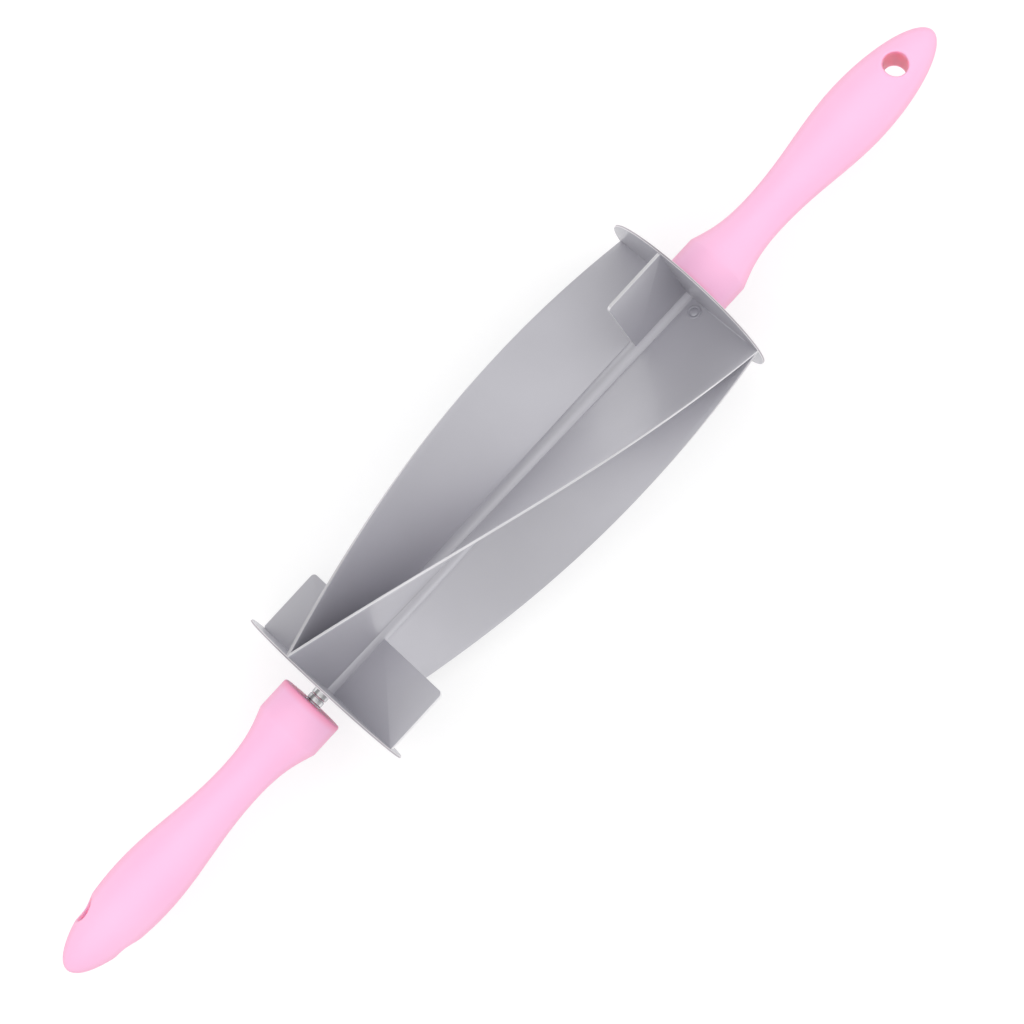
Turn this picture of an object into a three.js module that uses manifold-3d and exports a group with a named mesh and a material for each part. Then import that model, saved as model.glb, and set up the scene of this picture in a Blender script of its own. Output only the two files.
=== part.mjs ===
// Croissant cutter. A roller of four twisted blades between two discs turns freely on a
// steel rod, and floats a little along it. A plastic handle is pressed on each rod end.
// The rod lies along X with the right handle towards +X, the origin is at the middle of
// the overall length on the rod's axis, and the cutter rests on its disc rims, -Z down.
// An angle round the rod is measured from +Z, turning about +X.

import * as THREE from 'three';
import { mergeVertices } from 'three/addons/utils/BufferGeometryUtils.js';
import Module from 'manifold-3d';

const wasm = await Module();
wasm.setup();

// All lengths are in millimetres and all angles in degrees.

// Clearances
const seatGap = 0.3; // between pieces that are welded, pressed or seated together
const runningGap = 0.3; // all round the rod, where the roller and the washers turn on it
const cutOverrun = 1; // how far a cutting shape reaches past what it cuts

// Steel rod
const rodRadius = 3;
const rodSeatLength = 40; // held inside each handle
const rodEndChamfer = 0.6;
const gripGrooveCount = 3;
const gripGroovePitch = 2.3;
const gripGrooveWidth = 0.8;
const gripGrooveDepth = 0.3;
const gripGrooveLead = 2.6; // the first groove shows this far outside the handle's face

// Roller
const discSpacing = 175; // between the inner faces of the two discs
const discThickness = 0.8;
const discRimHeight = 0.25; // how far the disc rims stand above the blade edges
const discSides = 48;
const bladeRadius = 33;
const bladeThickness = 1;
const bladeCount = 4;
const tubeWall = 0.7;
const firstRootAngle = 15.8; // halfway along the roller
const rootTwistShare = 0.42; // how much of its edge's twist a blade's root has on the tube
const finLength = 24.5;
const finThickness = 1.2;
const finInnerCorner = 1.6; // radius of the corner that faces the middle of the roller
const finDiscCorner = 0.8; // radius of the corner beside the disc

// Cross rivets that tie each pair of blades where it closes at the right disc
const rivetInset = 3.3; // from the disc's inner face
const rivetFromAxis = 7;
const rivetShankRadius = 1;
const rivetFlangeRadius = 2.4;
const rivetFlangeThickness = 0.4;
const rivetDomeRadius = 1.5;
const rivetDomeHeight = 0.5;
const rivetStandOff = 0.5; // under the flange at its middle, because the blades slope there

// Thrust washers
const washerRadius = 5.5;
const washerThickness = 0.6;
const axialFloat = 5.1; // free way along the rod between the left washer and handle

// Handles
const handleLength = 117.7;
const collarRadius = 11.9;
const collarLength = 12.2;
const collarFaceRound = 0.9;
const neckRadius = 7.7;
const neckPlace = 35; // from the handle's face
const bellyRadius = 11.62;
const bellyPlace = 81; // from the handle's face
const hangHoleRadius = 4.2;
const hangHoleFromTip = 18.6;
const hangMouthRound = 1.3;
const leftHoleRoll = -80;
const rightHoleRoll = -10;

// Where the handle's curves aim, as shares of the stretch and of the drop that each covers
const shoulderLeaveShares = [0.285, 0.583];
const shoulderArriveShare = 0.518;
const gripLeaveShare = 0.391;
const gripArriveShare = 0.652;
const tipLeaveShare = 0.518;
const tipRoundShare = 0.551;

// Steps
const rodSides = 20;
const handleSides = 32;
const rivetSides = 12;
const holeSides = 24;
const shoulderSteps = 5;
const gripSteps = 8;
const tipSteps = 9;
const roundSteps = 3;
const bladeLengthSteps = 32;
const bladeDepthSteps = 4;

// Sizes that follow from those above
const boreRadius = rodRadius + runningGap;
const tubeRadius = boreRadius + tubeWall;
const discRadius = bladeRadius + discRimHeight;
const rollerLength = discSpacing + 2 * discThickness;
const rightPlay = washerThickness + 2 * seatGap;
const leftPlay = washerThickness + seatGap + axialFloat;
const handleFacePlace = (rollerLength + rightPlay + leftPlay) / 2;
const rollerCentre = handleFacePlace - rightPlay - rollerLength / 2;
const rodHalfLength = handleFacePlace + rodSeatLength;
const sectorAngle = 360 / bladeCount;
const halfSector = sectorAngle / 2;

const pinkPlastic = { color: 0xf9b5d9, roughness: 0.42, metalness: 0 };
const satinSteel = { color: 0xb4b3bb, roughness: 0.4, metalness: 0.85 };
const brightSteel = { color: 0xd2d2d6, roughness: 0.16, metalness: 1 };

const radians = THREE.MathUtils.degToRad;

function welded(geometry) {
  const bare = geometry.index ? geometry.toNonIndexed() : geometry.clone();
  bare.deleteAttribute('normal');
  bare.deleteAttribute('uv');
  const merged = mergeVertices(bare);
  const corners = merged.index.array;
  const kept = [];
  for (let i = 0; i < corners.length; i += 3) {
    const [a, b, c] = corners.slice(i, i + 3);
    if (a !== b && b !== c && c !== a) {
      kept.push(a, b, c);
    }
  }
  merged.setIndex(kept);
  return merged;
}

function toSolid(geometry) {
  const merged = welded(geometry);
  const vertProperties = new Float32Array(merged.attributes.position.array);
  const triVerts = new Uint32Array(merged.index.array);
  return new wasm.Manifold(new wasm.Mesh({ numProp: 3, vertProperties, triVerts }));
}

function toGeometry(solid) {
  const mesh = solid.getMesh();
  const geometry = new THREE.BufferGeometry();
  geometry.setAttribute('position', new THREE.BufferAttribute(mesh.vertProperties, 3));
  geometry.setIndex(new THREE.BufferAttribute(mesh.triVerts, 1));
  geometry.computeVertexNormals();
  return geometry;
}

function piece(name, geometry, finish) {
  const mesh = new THREE.Mesh(geometry, new THREE.MeshStandardMaterial(finish));
  mesh.name = name;
  return mesh;
}

// A turned shape whose profile runs along X, from points of radius and place.
function turned(profile, sides, firstAngle = 0) {
  const points = profile.map(([radius, place]) => new THREE.Vector2(radius, place));
  const geometry = new THREE.LatheGeometry(points, sides, firstAngle);
  geometry.rotateZ(-Math.PI / 2);
  return welded(geometry);
}

// A flat ring from one place along X to another.
function ring(innerRadius, outerRadius, from, to, sides, firstAngle = 0) {
  const profile = [
    [innerRadius, from],
    [outerRadius, from],
    [outerRadius, to],
    [innerRadius, to],
    [innerRadius, from],
  ];
  return turned(profile, sides, firstAngle);
}

function curvePoints(curve, steps) {
  return curve.getPoints(steps).slice(1).map((point) => [point.x, point.y]);
}

function quarterRound(centreRadius, centrePlace, size, fromAngle, toAngle) {
  const points = [];
  for (let i = 0; i <= roundSteps; i += 1) {
    const angle = radians(fromAngle + ((toAngle - fromAngle) * i) / roundSteps);
    points.push([centreRadius + size * Math.cos(angle), centrePlace + size * Math.sin(angle)]);
  }
  return points;
}

// The rod with its grip grooves, which hold the handles on.
function rodHalfProfile() {
  const profile = [];
  for (let i = 0; i < gripGrooveCount; i += 1) {
    const middle = handleFacePlace - gripGrooveLead + i * gripGroovePitch;
    const near = middle - gripGrooveWidth / 2;
    const far = middle + gripGrooveWidth / 2;
    const floor = rodRadius - gripGrooveDepth;
    profile.push([rodRadius, near]);
    profile.push([floor, near + gripGrooveDepth]);
    profile.push([floor, far - gripGrooveDepth]);
    profile.push([rodRadius, far]);
  }
  profile.push([rodRadius, rodHalfLength - rodEndChamfer]);
  profile.push([rodRadius - rodEndChamfer, rodHalfLength]);
  profile.push([0, rodHalfLength]);
  return profile;
}

function makeRod() {
  const rightHalf = rodHalfProfile();
  const leftHalf = rightHalf.map(([radius, place]) => [radius, -place]).reverse();
  return piece('axle_rod', turned([...leftHalf, ...rightHalf], rodSides), brightSteel);
}

// Half the outline of a handle, from its bore round the collar, neck and belly to the tip.
function handleProfile() {
  const shoulder = neckPlace - collarLength;
  const drop = collarRadius - neckRadius;
  const grip = bellyPlace - neckPlace;
  const end = handleLength - bellyPlace;
  const [leaveAlong, leaveDown] = shoulderLeaveShares;
  const shoulderCurve = new THREE.CubicBezierCurve(
    new THREE.Vector2(collarRadius, collarLength),
    new THREE.Vector2(collarRadius - drop * leaveDown, collarLength + shoulder * leaveAlong),
    new THREE.Vector2(neckRadius, collarLength + shoulder * shoulderArriveShare),
    new THREE.Vector2(neckRadius, neckPlace),
  );
  const gripCurve = new THREE.CubicBezierCurve(
    new THREE.Vector2(neckRadius, neckPlace),
    new THREE.Vector2(neckRadius, neckPlace + grip * gripLeaveShare),
    new THREE.Vector2(bellyRadius, neckPlace + grip * gripArriveShare),
    new THREE.Vector2(bellyRadius, bellyPlace),
  );
  const tipCurve = new THREE.CubicBezierCurve(
    new THREE.Vector2(bellyRadius, bellyPlace),
    new THREE.Vector2(bellyRadius, bellyPlace + end * tipLeaveShare),
    new THREE.Vector2(bellyRadius * tipRoundShare, handleLength),
    new THREE.Vector2(0, handleLength),
  );
  const boreDepth = rodSeatLength + seatGap;
  const seatRadius = rodRadius + seatGap;
  const faceRadius = collarRadius - collarFaceRound;
  return [
    [0, boreDepth],
    [seatRadius, boreDepth],
    [seatRadius, 0],
    ...quarterRound(faceRadius, collarFaceRound, collarFaceRound, -90, 0),
    [collarRadius, collarLength],
    ...curvePoints(shoulderCurve, shoulderSteps),
    ...curvePoints(gripCurve, gripSteps),
    ...curvePoints(tipCurve, tipSteps),
  ];
}

// The radius of the handle's outline at a distance from its face, past the belly.
function tipRadiusAt(profile, place) {
  const next = profile.findIndex(([, along], i) => i > 1 && along >= place && along > bellyPlace);
  const [outerRadius, outerPlace] = profile[next - 1];
  const [innerRadius, innerPlace] = profile[next];
  const share = (place - outerPlace) / (innerPlace - outerPlace);
  return outerRadius + (innerRadius - outerRadius) * share;
}

// The cross hole that the handle hangs by, with a rounded mouth on each side.
function hangHole(profile) {
  const place = handleLength - hangHoleFromTip;
  const wall = tipRadiusAt(profile, place);
  const mouthRadius = hangHoleRadius + hangMouthRound;
  const mouth = quarterRound(mouthRadius, wall - hangMouthRound, hangMouthRound, 180, 90);
  const upperHalf = [...mouth, [mouthRadius, wall + cutOverrun], [0, wall + cutOverrun]];
  const lowerHalf = upperHalf.map(([radius, along]) => [radius, -along]).reverse();
  const cutter = turned([...lowerHalf, ...upperHalf], holeSides);
  cutter.rotateY(-Math.PI / 2);
  cutter.translate(place, 0, 0);
  return cutter;
}

function makeHandle(name, side, roll) {
  const profile = handleProfile();
  const body = toSolid(turned(profile, handleSides));
  const geometry = toGeometry(body.subtract(toSolid(hangHole(profile))));
  const mesh = piece(name, geometry, pinkPlastic);
  mesh.rotation.x = radians(side * roll);
  const holder = new THREE.Group();
  holder.position.x = side * handleFacePlace;
  holder.rotation.z = side > 0 ? 0 : Math.PI;
  holder.add(mesh);
  return holder;
}

function makeWasher(name, side) {
  const near = rollerLength / 2 + seatGap;
  const from = side > 0 ? near : -near - washerThickness;
  const geometry = ring(boreRadius, washerRadius, from, from + washerThickness, rodSides);
  const washer = piece(name, geometry, brightSteel);
  washer.position.x = rollerCentre;
  return washer;
}

function makeTube() {
  const end = discSpacing / 2 - seatGap;
  return piece('roller_tube', ring(boreRadius, tubeRadius, -end, end, rodSides), satinSteel);
}

// A disc has a flat side straight down, so that the roller has something to rest on.
function makeDisc(name, side) {
  const from = side > 0 ? discSpacing / 2 : -discSpacing / 2 - discThickness;
  const firstAngle = Math.PI / discSides;
  const geometry = ring(boreRadius, discRadius, from, from + discThickness, discSides, firstAngle);
  return piece(name, geometry, satinSteel);
}

// A blade's cutting edge winds from one side of its sector to the other, clockwise or not
// as its hand says, and its root winds a smaller way round the tube, here about straight up.
function bladeSheet(hand) {
  const sheet = new THREE.BoxGeometry(1, 1, 1, bladeLengthSteps, 1, bladeDepthSteps);
  const spots = sheet.attributes.position;
  const length = discSpacing - 2 * seatGap;
  for (let i = 0; i < spots.count; i += 1) {
    const x = spots.getX(i) * length;
    const edgeAngle = radians((hand * sectorAngle * x) / discSpacing);
    const edge = new THREE.Vector2(-Math.sin(edgeAngle), Math.cos(edgeAngle));
    edge.multiplyScalar(bladeRadius);
    const rootAngle = rootTwistShare * edgeAngle;
    const root = new THREE.Vector2(-Math.sin(rootAngle), Math.cos(rootAngle));
    root.multiplyScalar(tubeRadius);
    const outward = edge.clone().sub(root);
    const depth = outward.length() + cutOverrun;
    outward.normalize();
    const along = (spots.getZ(i) + 1 / 2) * depth - cutOverrun;
    const across = spots.getY(i) * bladeThickness;
    const y = root.x + outward.x * along + outward.y * across;
    const z = root.y + outward.y * along - outward.x * across;
    spots.setXYZ(i, x, y, z);
  }
  return sheet;
}

// The room that one blade has between the planes where it meets the blades beside it.
function bladeSector() {
  const reach = 2 * bladeRadius;
  const tip = seatGap / 2 / Math.sin(radians(halfSector));
  const spread = reach * Math.tan(radians(halfSector));
  const outline = new THREE.Shape();
  outline.moveTo(0, tip);
  outline.lineTo(spread, tip + reach);
  outline.lineTo(-spread, tip + reach);
  outline.closePath();
  const length = discSpacing + 2 * cutOverrun;
  const geometry = new THREE.ExtrudeGeometry(outline, { depth: length, bevelEnabled: false });
  geometry.translate(0, 0, -length / 2);
  const axes = new THREE.Matrix4().makeBasis(
    new THREE.Vector3(0, 1, 0),
    new THREE.Vector3(0, 0, 1),
    new THREE.Vector3(1, 0, 0),
  );
  return geometry.applyMatrix4(axes);
}

function rivetHole(hand) {
  const radius = rivetShankRadius + seatGap;
  const hole = new THREE.CylinderGeometry(radius, radius, 2 * bladeRadius, rivetSides);
  hole.translate(discSpacing / 2 - rivetInset, 0, rivetFromAxis);
  hole.rotateX(radians(hand * halfSector));
  return hole;
}

function makeBlade(index) {
  const hand = index % 2 === 0 ? 1 : -1;
  const rootRoom = tubeRadius + seatGap;
  const core = turned(
    [
      [0, -discSpacing],
      [rootRoom, -discSpacing],
      [rootRoom, discSpacing],
      [0, discSpacing],
    ],
    rodSides,
  );
  const solid = toSolid(bladeSheet(hand))
    .intersect(toSolid(bladeSector()))
    .subtract(toSolid(core))
    .subtract(toSolid(rivetHole(hand)));
  const blade = piece(`blade_${index + 1}`, toGeometry(solid), satinSteel);
  blade.rotation.x = radians(firstRootAngle + index * sectorAngle);
  return blade;
}

// A flat fin stands in the middle of each blade pair's wide end and slits the dough there.
function makeFin(name, side, angle) {
  const discFace = side * (discSpacing / 2 - seatGap);
  const innerEnd = side * (discSpacing / 2 - finLength);
  const rootEdge = tubeRadius + seatGap;
  const outline = new THREE.Shape();
  outline.moveTo(discFace, rootEdge);
  outline.lineTo(innerEnd, rootEdge);
  outline.lineTo(innerEnd, bladeRadius - finInnerCorner);
  outline.quadraticCurveTo(innerEnd, bladeRadius, innerEnd + side * finInnerCorner, bladeRadius);
  outline.lineTo(discFace - side * finDiscCorner, bladeRadius);
  outline.quadraticCurveTo(discFace, bladeRadius, discFace, bladeRadius - finDiscCorner);
  outline.closePath();
  const settings = { depth: finThickness, bevelEnabled: false, curveSegments: roundSteps };
  const geometry = new THREE.ExtrudeGeometry(outline, settings);
  geometry.translate(0, 0, -finThickness / 2);
  geometry.rotateX(Math.PI / 2);
  const fin = piece(name, welded(geometry), satinSteel);
  fin.rotation.x = radians(angle);
  return fin;
}

// How far the middle of a blade's sheet is from the plane where its pair closes.
function bladeFromPlane(inset, fromAxis) {
  const edgeLeft = (sectorAngle * inset) / discSpacing;
  const rootLeft = halfSector - rootTwistShare * (halfSector - edgeLeft);
  const rootAcross = tubeRadius * Math.sin(radians(rootLeft));
  const rootOut = tubeRadius * Math.cos(radians(rootLeft));
  const edgeAcross = bladeRadius * Math.sin(radians(edgeLeft));
  const edgeOut = bladeRadius * Math.cos(radians(edgeLeft));
  const share = (fromAxis - rootOut) / (edgeOut - rootOut);
  return rootAcross + (edgeAcross - rootAcross) * share;
}

function makeRivet(name, angle) {
  const sheetFace = bladeFromPlane(rivetInset, rivetFromAxis) + bladeThickness / 2;
  const under = sheetFace + rivetStandOff;
  const top = under + rivetFlangeThickness;
  const dome = new THREE.EllipseCurve(0, top, rivetDomeRadius, rivetDomeHeight, 0, Math.PI / 2);
  const upperHalf = [
    [rivetShankRadius, under],
    [rivetFlangeRadius, under],
    [rivetFlangeRadius, top],
    [rivetDomeRadius, top],
    ...curvePoints(dome, roundSteps).slice(0, -1),
    [0, top + rivetDomeHeight],
  ];
  const lowerHalf = upperHalf.map(([radius, place]) => [radius, -place]).reverse();
  const geometry = turned([...lowerHalf, ...upperHalf], rivetSides);
  geometry.rotateZ(Math.PI / 2);
  geometry.translate(discSpacing / 2 - rivetInset, 0, rivetFromAxis);
  const rivet = piece(name, geometry, brightSteel);
  rivet.rotation.x = radians(angle);
  return rivet;
}

function makeRoller() {
  const roller = new THREE.Group();
  roller.position.x = rollerCentre;
  roller.add(makeTube());
  roller.add(makeDisc('left_disc', -1));
  roller.add(makeDisc('right_disc', 1));
  for (let i = 0; i < bladeCount; i += 1) {
    roller.add(makeBlade(i));
  }
  for (let i = 0; i < bladeCount; i += 2) {
    const closing = firstRootAngle + halfSector + i * sectorAngle;
    const pair = i / 2 + 1;
    roller.add(makeFin(`left_fin_${pair}`, -1, closing));
    roller.add(makeFin(`right_fin_${pair}`, 1, closing + sectorAngle));
    roller.add(makeRivet(`cross_rivet_${pair}`, closing));
  }
  return roller;
}

const cutter = new THREE.Group();
cutter.add(makeRod());
cutter.add(makeHandle('left_handle', -1, leftHoleRoll));
cutter.add(makeHandle('right_handle', 1, rightHoleRoll));
cutter.add(makeWasher('left_washer', -1));
cutter.add(makeWasher('right_washer', 1));
cutter.add(makeRoller());

export default cutter;
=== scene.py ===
import math

import bmesh
import bpy
import numpy as np
from bpy.props import FloatProperty, FloatVectorProperty, IntProperty, PointerProperty
from bpy.types import NodeSocket, Operator, Panel, PropertyGroup
from mathutils import Euler, Matrix, Vector
from mathutils.geometry import interpolate_bezier


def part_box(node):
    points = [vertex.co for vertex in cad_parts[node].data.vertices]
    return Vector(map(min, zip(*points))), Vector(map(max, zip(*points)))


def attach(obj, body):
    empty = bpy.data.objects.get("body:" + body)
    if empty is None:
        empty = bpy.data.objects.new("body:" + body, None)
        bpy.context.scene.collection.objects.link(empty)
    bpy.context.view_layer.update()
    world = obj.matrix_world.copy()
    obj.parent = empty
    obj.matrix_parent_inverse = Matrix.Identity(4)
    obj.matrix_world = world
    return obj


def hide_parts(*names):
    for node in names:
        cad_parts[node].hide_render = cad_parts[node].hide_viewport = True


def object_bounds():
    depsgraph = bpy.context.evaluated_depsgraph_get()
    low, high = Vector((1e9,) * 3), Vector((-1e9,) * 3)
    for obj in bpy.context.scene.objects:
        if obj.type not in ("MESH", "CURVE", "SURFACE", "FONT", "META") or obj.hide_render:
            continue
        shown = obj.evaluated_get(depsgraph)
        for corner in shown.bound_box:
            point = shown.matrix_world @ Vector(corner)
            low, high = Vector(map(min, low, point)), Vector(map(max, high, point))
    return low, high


bl_info = {
    "name": "Croissant Cutter",
    "version": (1, 0, 0),
    "blender": (4, 5, 0),
    "location": "View3D > Sidebar > Cutter",
    "description": "Models a croissant cutter with twisted steel blades and plastic handles",
    "category": "Object",
}

# The rod lies along X, the cutter stands on its disc rims, and all lengths are in metres.
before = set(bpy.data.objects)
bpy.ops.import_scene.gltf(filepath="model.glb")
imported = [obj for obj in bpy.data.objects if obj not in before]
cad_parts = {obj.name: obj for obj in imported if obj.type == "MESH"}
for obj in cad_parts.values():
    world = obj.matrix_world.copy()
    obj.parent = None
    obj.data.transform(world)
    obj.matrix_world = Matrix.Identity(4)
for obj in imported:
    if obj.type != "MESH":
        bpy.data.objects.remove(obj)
CAD_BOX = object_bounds()
MM = 0.001
FULL_TURN = math.tau

# A point this near a place counts as there, and points this near each other are merged.
HAIR, MERGE_WITHIN = 0.01 * MM, 0.002 * MM

# Sides of a full turn, and steps along a curve.
HANDLE_SIDES, HOLE_SIDES, ROD_SIDES, TUBE_SIDES = 128, 112, 72, 96
DISC_SIDES, RIVET_SIDES, BEAD_SIDES = 192, 48, 16
SHOULDER_STEPS, GRIP_STEPS, TIP_STEPS, MOUTH_STEPS, WALL_CUTS = 22, 26, 34, 7, 7
FACE_STEPS, GROOVE_STEPS, FIN_STEPS, FLANGE_STEPS, DOME_STEPS = 6, 8, 10, 4, 10
BLADE_STEPS, BLADE_CUTS = 110, 13


# -------- sizes from the frame

def frame_reach(node):
    """How far a CAD node reaches from the rod's axis, straight up."""
    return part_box(node)[1].z


def frame_along(node):
    """Where a CAD node starts and ends along the rod."""
    low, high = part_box(node)
    return low.x, high.x


HANDLE_FACE, HANDLE_TIP = frame_along("right_handle")
ROD_END = frame_along("axle_rod")[1]
LEFT_DISC_OUTER, LEFT_DISC_INNER = frame_along("left_disc")
RIGHT_DISC_INNER, RIGHT_DISC_OUTER = frame_along("right_disc")
DISC_SPACING = RIGHT_DISC_INNER - LEFT_DISC_INNER
ROLLER_MIDDLE = (LEFT_DISC_INNER + RIGHT_DISC_INNER) / 2
FLOOR_HEIGHT = CAD_BOX[0].z

# How far blades and fins reach into the discs, so that no slit shows between them.
DISC_BITE = 0.1 * MM


# -------- settings

def a_number(label, about, default, **kind):
    return FloatProperty(name=label, description=about, default=default, **kind)


def a_length(label, about, default):
    return a_number(label, about, default, unit='LENGTH')


def a_turn(label, about, degrees):
    return a_number(label, about, math.radians(degrees), unit='ROTATION')


def a_share(label, about, default):
    return a_number(label, about, default, subtype='FACTOR')


def a_colour(label, about, *default):
    return FloatVectorProperty(name=label, description=about, default=default, subtype='COLOR')


class HandleSettings(PropertyGroup):
    length: a_length("Length", "From the face beside the roller to the tip",
                     HANDLE_TIP - HANDLE_FACE)
    collar_radius: a_length("Collar radius", "Of the round collar beside the roller",
                            frame_reach("right_handle"))
    collar_length: a_length("Collar length", "From the face to the break where the shoulder starts",
                            12.2 * MM)
    face_round: a_length("Face round", "Radius of the collar's edge round the face", 0.9 * MM)
    neck_radius: a_length("Neck radius", "Where the handle is thinnest", 7.7 * MM)
    neck_place: a_length("Neck place", "From the face to the thinnest place", 35 * MM)
    belly_radius: a_length("Belly radius", "Where the grip is thickest", 11.62 * MM)
    belly_place: a_length("Belly place", "From the face to the thickest place of the grip", 81 * MM)
    hole_radius: a_length("Hanging hole radius", "Of the cross hole near the tip", 4.2 * MM)
    hole_from_tip: a_length("Hole from tip", "From the tip to the middle of the hanging hole",
                            18.6 * MM)
    mouth_round: a_length("Mouth round", "How far the rounded mouth widens the hanging hole",
                          1.6 * MM)
    left_roll: a_turn("Left hole turn", "Turn of the left hanging hole from upright", 80)
    right_roll: a_turn("Right hole turn", "Turn of the right hanging hole from upright", -10)
    colour: a_colour("Colour", "Of the moulded plastic", 0.99, 0.545, 0.78)
    deep_colour: a_colour("Deep colour", "Of the slightly deeper drifts in the plastic",
                          0.985, 0.515, 0.76)
    # Painted glow: a redder pink where the plastic is seen edge-on, standing in for light through
    # its edges.
    painted_edge_glow_colour: a_colour("Painted edge glow colour", "Of the plastic where it is seen edge-on",
                          1.0, 0.42, 0.61)
    # Painted glow and shade: a redder pink beside the end face, where the disc shades the collar,
    # standing in for light through the plastic.
    painted_end_glow_colour: a_colour("Painted end glow colour", "Of the plastic beside the end face", 1.0, 0.26, 0.43)
    painted_end_glow_length: a_length("Painted end glow length", "How far the painted red glow reaches from the end face",
                           3.6 * MM)
    # Painted shade: a deeper pink for the hole's wall and the end face.
    painted_shade_colour: a_colour("Shaded colour", "Of the plastic in the hanging hole and end face",
                          1.0, 0.41, 0.56)
    roughness: a_share("Roughness", "Of the clean plastic", 0.4)


class RodSettings(PropertyGroup):
    radius: a_length("Radius", "Of the steel rod", frame_reach("axle_rod"))
    end_chamfer: a_length("End chamfer", "On each end of the rod", 0.6 * MM)
    groove_count: IntProperty(
        name="Grooves", description="Turned grooves at each handle", default=3)
    groove_pitch: a_length("Groove pitch", "From one groove to the next", 2.3 * MM)
    groove_width: a_length("Groove width", "Across one groove", 0.8 * MM)
    groove_depth: a_length("Groove depth", "Of one groove", 0.3 * MM)
    groove_lead: a_length("Groove lead", "From the handle's face to the first groove", 2.6 * MM)
    bore: a_length("Bore radius", "Of the washers, the discs and the tube round the rod", 3.3 * MM)


class RollerSettings(PropertyGroup):
    disc_radius: a_length("Disc radius", "Of the two end discs", frame_reach("right_disc"))
    disc_round: a_length("Disc edge round", "On the discs' rims", 0.2 * MM)
    blade_round: a_length("Blade edge round", "Along the blades' worn cutting edges", 0.24 * MM)
    bead_radius: a_length("Bead radius", "Of the weld beads between blades and disc", 0.3 * MM)
    bead_reach: FloatVectorProperty(
        name="Bead reach", description="Where a weld bead starts and ends, from the rod's axis",
        size=2, default=(8.5 * MM, 28.0 * MM), unit='LENGTH')
    tube_radius: a_length("Tube radius", "Of the tube that carries the blades",
                          frame_reach("roller_tube"))
    blade_radius: a_length("Blade radius", "From the rod's axis to the cutting edges", 33 * MM)
    sheet: a_length("Sheet", "Thickness of the blades", 1 * MM)
    sheet_round: a_length("Sheet edge round", "On the sheared edges of blades and fins", 0.1 * MM)
    blade_count: IntProperty(
        name="Blades", description="Twisted blades round the tube", default=4)
    first_root: a_turn("First blade", "Turn of the first blade's root from upright, midway", 15.8)
    root_twist: a_share("Root twist", "Share of its edge's twist that a blade's root has", 0.42)
    fin_sheet: a_length("Fin sheet", "Thickness of the fins", 1.2 * MM)
    fin_length: a_length("Fin length", "Along the rod", 24.5 * MM)
    fin_inner_corner: a_length("Fin inner corner", "Radius of the corner away from the disc",
                               1.6 * MM)
    fin_disc_corner: a_length("Fin disc corner", "Radius of the corner beside the disc", 0.8 * MM)
    colour: a_colour("Colour", "Of the dulled steel sheet", 0.68, 0.672, 0.717)
    deep_colour: a_colour("Deep colour", "Of the slightly darker drifts in the sheet",
                          0.645, 0.638, 0.678)
    edge_colour: a_colour("Cutting edge colour", "Of the worn cutting edges", 0.82, 0.81, 0.835)
    sheared_colour: a_colour("Sheared edge colour", "Of the second pair's cutting edges",
                             0.66, 0.645, 0.67)
    fin_edge_colour: a_colour("Fin edge colour", "Of the fins' bright cut edges", 0.86, 0.85, 0.87)
    # A darker grey on the flat of each disc rim.
    rim_colour: a_colour("Rim colour", "Of the discs' darker rim flats", 0.46, 0.42, 0.46)
    # Painted highlight: a bright grey on the rims' rounded corners, where they catch the light.
    corner_highlight_colour: a_colour("Disc corner highlight colour", "Of the rounded corners of the disc rims",
                            0.82, 0.80, 0.82)
    roughness: a_share("Roughness", "Of the clean sheet", 0.56)


class RivetSettings(PropertyGroup):
    inset: a_length("Inset", "From the right disc to the rivet's middle", 3.3 * MM)
    from_axis: a_length("From axis", "From the rod's axis to the rivet's middle", 7 * MM)
    shank_radius: a_length("Shank radius", "Between the two blades", 1 * MM)
    flange_radius: a_length("Flange radius", "Of the flat ring on the blade", 2.45 * MM)
    flange_height: a_length("Flange height", "Above the blade", 0.3 * MM)
    dome_radius: a_length("Dome radius", "Of the round head on the ring", 1.5 * MM)
    dome_height: a_length("Dome height", "Above the ring", 0.3 * MM)


class StageSettings(PropertyGroup):
    camera_place: FloatVectorProperty(
        name="Camera place", description="Nearly straight above the cutter", subtype='XYZ',
        default=(-42.54 * MM, 1.27 * MM, 1029.93 * MM), precision=5)
    camera_turn: FloatVectorProperty(
        name="Camera turn", description="Looking down, with the rod from corner to corner",
        subtype='EULER', default=[math.radians(turn) for turn in (1.408, -1.815, -47.359)])
    lens: a_number("Lens", "Focal length in millimetres on a 36 mm wide sensor", 110.51)
    zenith: a_number("Zenith", "How bright the metal sees the sky straight above", 0.8)
    dusk: a_number("Dusk", "How bright the metal sees the sky low on the +Y side", 0.38)
    dawn: a_number("Dawn", "How bright the metal sees the sky low on the -Y side", 0.62)
    sky: a_number("Sky", "Soft light from all round", 0.78)
    key_power: a_number("Top lamp", "Watts of the wide lamp overhead", 11.0)
    side_power: a_number("Side lamp", "Watts of the wide lamp at the side", 4.0)


# -------- modelling helpers

def start_fresh():
    """Leave edit mode and drop the selection, so that operators act on new work alone."""
    if bpy.context.mode != 'OBJECT':
        bpy.ops.object.mode_set(mode='OBJECT')
    bpy.ops.object.select_all(action='DESELECT')


def pick(piece):
    """Make one piece the only selected and active object."""
    start_fresh()
    piece.select_set(True)
    bpy.context.view_layer.objects.active = piece


def work_on(piece):
    """Open a piece in edit mode with nothing in it selected."""
    pick(piece)
    bpy.ops.object.mode_set(mode='EDIT')
    bpy.ops.mesh.select_all(action='DESELECT')


def name_piece(name):
    """Name the object that the last operator made."""
    piece = bpy.context.object
    piece.name = piece.data.name = name
    return piece


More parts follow.
